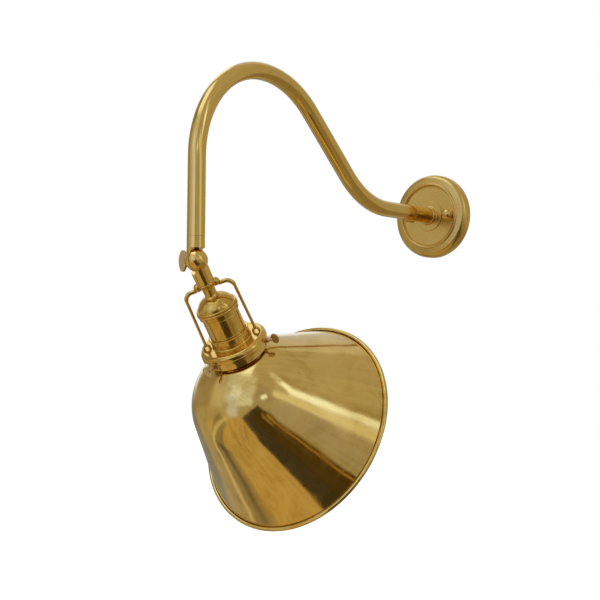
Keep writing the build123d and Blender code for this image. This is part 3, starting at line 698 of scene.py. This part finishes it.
def rim():
    """The edge of the sheet rolled over a wire, seen as a bead with a sunk line inside it."""
    bead_r, wire_r = 2.5, 1.7
    centre = RIM_R - bead_r
    rolled = [(centre + bead_r * cos(a), RIM_DEPTH + bead_r * sin(a))
              for a in (radians(d) for d in range(-128, 190, 6))]
    back = [(centre + wire_r * cos(a), RIM_DEPTH + wire_r * sin(a))
            for a in (radians(d) for d in range(188, -130, -12))]
    return lathe("rolled_rim", SHADE, rolled + back, "head", SPUN, "aged_brass", ["rim_bead"], edge=0.2,
                 segments=360)


shade()
rim()


# ---- studio ------------------------------------------------------------------------------------
def floor():
    """A large pale floor, well under the light, that the metal doesn't mirror."""
    mesh = bpy.data.meshes.new("floor")
    half, drop = 9.0, 0.35
    level = CAD_BOX[0].z - drop
    corners = [(-half, -half, level), (half, -half, level), (half, half, level), (-half, half, level)]
    mesh.from_pydata(corners, [], [(0, 1, 2, 3)])
    plane = bpy.data.objects.new("floor", mesh)
    bpy.context.collection.objects.link(plane)
    s = Surface("pale_floor")
    cloud = s.noise(3.0, detail=2.0)
    tone = s.ramp(cloud, [(0.3, (0.93, 0.93, 0.93)), (0.7, (0.95, 0.95, 0.95))])
    s.set(base_color=tone, roughness=0.9, emission_color=tone, emission_strength=0.75)
    mesh.materials.append(s.material)
    plane.visible_glossy = False
    plane.visible_diffuse = False


def camera():
    """The camera: where it stands, which way it looks and how far it is rolled."""
    azimuth, elevation, roll = radians(38.45), radians(-2.88), radians(-0.53)
    stand = Vector((1.0523, -1.6135, -0.2091))
    back = Vector((sin(azimuth) * cos(elevation), -cos(azimuth) * cos(elevation), sin(elevation)))
    right = Vector((cos(azimuth), sin(azimuth), 0))
    up = back.cross(right)
    rolled_right = right * cos(roll) - up * sin(roll)
    rolled_up = right * sin(roll) + up * cos(roll)
    data = bpy.data.cameras.new("camera")
    data.lens = 86.6
    data.sensor_width = 36.0
    data.clip_end = 50
    eye = bpy.data.objects.new("camera", data)
    bpy.context.collection.objects.link(eye)
    eye.matrix_world = axes(stand, rolled_right, rolled_up, back)
    bpy.context.scene.camera = eye


class Surroundings(Nodes):
    """What the metal mirrors: soft patches laid over one another on the sphere round the light.

    A place on the sphere is (bearing, height) in degrees. Bearing 0 looks out from the wall and turns
    toward +X, which is the right, and height 90 is overhead.
    """

    def __init__(self):
        world = bpy.data.worlds.new("studio")
        bpy.context.scene.world = world
        world.use_nodes = True
        super().__init__(world.node_tree)
        self.tree.nodes.clear()
        toward = self.node("ShaderNodeTexCoord").outputs["Generated"]
        x, y, z = self.parts(toward)
        bearing = self.in_degrees(self.math("ARCTAN2", x, self.math("MULTIPLY", y, -1.0)))
        height = self.in_degrees(self.math("ARCSINE", z))
        self.bearing = self.math("ADD", bearing, self.sway(toward, 0))
        self.height = self.math("ADD", height, self.sway(toward, 1))
        self.colour = (0, 0, 0)

    def sway(self, toward, channel):
        """A few degrees of waviness, so that nothing in the room has a ruled edge."""
        total = 0.0
        for scale, amount in ((3.0, 5.0), (14.0, 2.5)):
            made = self.node("ShaderNodeTexNoise")
            made.inputs["Scale"].default_value = scale
            made.inputs["Detail"].default_value = 2.0
            self.join(toward, made.inputs["Vector"])
            ripple = self.parts(made.outputs["Color"])[channel]
            total = self.math("ADD", self.math("MULTIPLY", self.math("SUBTRACT", ripple, 0.5), amount), total)
        return total

    def in_degrees(self, angle):
        return self.math("MULTIPLY", angle, 180 / pi)

    def inside(self, distance, half, soft):
        """1 where the distance is under half, falling to 0 over the soft edge."""
        made = self.node("ShaderNodeMapRange", interpolation_type="SMOOTHSTEP")
        self.join(self.math("ABSOLUTE", distance), made.inputs["Value"])
        made.inputs["From Min"].default_value = half + soft / 2
        made.inputs["From Max"].default_value = half - soft / 2
        return made.outputs["Result"]

    def patch(self, centre, half, soft, colour, tilt=0.0):
        """A soft-edged oblong, turned by tilt degrees, laid over what is there already."""
        across = self.math("SUBTRACT", self.bearing, centre[0])
        up = self.math("SUBTRACT", self.height, centre[1])
        c, s = cos(radians(tilt)), sin(radians(tilt))
        along = self.math("ADD", self.math("MULTIPLY", across, c), self.math("MULTIPLY", up, s))
        over = self.math("SUBTRACT", self.math("MULTIPLY", up, c), self.math("MULTIPLY", across, s))
        mask = self.math("MULTIPLY", self.inside(along, half[0], soft), self.inside(over, half[1], soft))
        self.colour = self.mix(mask, self.colour, colour)

    def streaks(self, centre, half, count, colour, tilt, seed):
        """Thin uneven lines of one colour, side by side across an oblong."""
        pick = Random(seed)
        along = (cos(radians(tilt)), sin(radians(tilt)))
        for index in range(count):
            across = half[1] * (2 * (index + pick.uniform(0.1, 0.9)) / count - 1)
            slide = pick.uniform(-0.35, 0.35) * half[0]
            middle = (centre[0] + along[0] * slide - along[1] * across,
                      centre[1] + along[1] * slide + along[0] * across)
            strength = pick.uniform(0.7, 1.15)
            self.patch(middle, (half[0] * pick.uniform(0.35, 0.65), pick.uniform(0.3, 1.0)), 1.8,
                       tuple(channel * strength for channel in colour), tilt + pick.uniform(-3, 3))

    def finish(self):
        """White for the eye, the patches for everything else."""
        seen, around = self.node("ShaderNodeBackground"), self.node("ShaderNodeBackground")
        self.join((1, 1, 1, 1), seen.inputs["Color"])
        self.join(self.colour, around.inputs["Color"])
        either = self.node("ShaderNodeMixShader")
        self.join(self.node("ShaderNodeLightPath").outputs["Is Camera Ray"], either.inputs[0])
        self.join(around.outputs[0], either.inputs[1])
        self.join(seen.outputs[0], either.inputs[2])
        self.join(either.outputs[0], self.node("ShaderNodeOutputWorld").inputs[0])


def room():
    """Plain walls, lit panels overhead, ahead and to each side, and a warm floor with dark bands."""
    around = Surroundings()
    # walls, ceiling and floor
    around.patch((0, 0), (190, 95), 1, (0.45, 0.42, 0.34))
    around.patch((0, 80), (190, 32), 40, (0.50, 0.46, 0.40))
    around.patch((0, -75), (190, 40), 30, (0.36, 0.29, 0.18))
    # the ceiling panel, and a dim wall with a dark notch beside it
    around.patch((-35, 62), (50, 18), 8, (1.15, 1.35, 1.90))
    around.patch((-80, 26), (24, 28), 8, (0.35, 0.32, 0.25))
    around.patch((-63, 38), (9, 6), 4, (0.12, 0.09, 0.04))
    # pale and dim stretches of wall all round, and one bright window on the left
    around.patch((150, -45), (60, 28), 14, (0.30, 0.24, 0.15))
    around.patch((0, 28), (30, 22), 12, (0.64, 0.70, 0.86))
    around.patch((-150, 30), (42, 30), 14, (0.62, 0.62, 0.60))
    around.patch((-128, -10), (30, 12), 10, (0.28, 0.27, 0.25))
    around.patch((-120, 44), (12, 14), 8, (1.30, 1.42, 1.65))
    around.patch((-38, 17), (12, 20), 10, (0.56, 0.56, 0.55))
    around.patch((112, 40), (16, 9), 8, (0.50, 0.48, 0.42))
    # the right: a grey wall with slanting lit strips
    around.patch((60, 4), (36, 16), 6, (0.42, 0.40, 0.40), tilt=-30)
    around.patch((84, 12), (26, 5), 5, (0.78, 0.82, 0.84), tilt=-22)
    around.patch((84, 30), (18, 4.5), 4, (1.22, 1.48, 2.30), tilt=-48)
    around.patch((70, 45), (12, 5), 8, (0.70, 0.78, 0.95), tilt=-40)
    # ahead: lit panels, and one dim gap
    around.patch((-9, 2), (8, 20), 7, (0.62, 0.74, 1.28))
    around.patch((-5, 21), (9, 8), 6, (0.86, 1.02, 1.75))
    around.patch((44, 14), (5, 3), 6, (1.30, 1.65, 2.90), tilt=25)
    around.patch((11, 6), (15, 6), 6, (0.76, 0.88, 1.25))
    around.patch((51, 4), (6, 6), 6, (0.44, 0.41, 0.33))
    # a lit strip on the left
    around.patch((-128, 12), (16, 7), 6, (0.95, 1.00, 1.10))
    # the floor: a warm sheet, streaked, with dark and lit bands across it
    around.patch((-10, -55), (60, 38), 4, (0.56, 0.44, 0.24))
    around.streaks((-8, -45), (30, 18), 9, (0.40, 0.27, 0.10), tilt=72, seed=3)
    around.patch((-65, -38), (42, 9), 2, (0.31, 0.28, 0.22), tilt=30)
    around.patch((-82, -50), (16, 4), 4, (0.18, 0.15, 0.12), tilt=30)
    around.patch((-60, -29), (42, 2.2), 2.0, (0.66, 0.62, 0.50), tilt=17)
    around.patch((41.5, -38), (36, 17), 2, (0.065, 0.055, 0.045), tilt=-55)
    around.patch((56, -29.5), (32, 12), 2, (0.080, 0.055, 0.020), tilt=-36)
    around.streaks((52, -18), (22, 7), 6, (0.30, 0.22, 0.10), tilt=-38, seed=5)
    around.patch((60, -23), (14, 1.1), 1.4, (0.50, 0.30, 0.06), tilt=-35)
    around.finish()


floor()
camera()
room()
bpy.context.scene.view_settings.view_transform = "Standard"
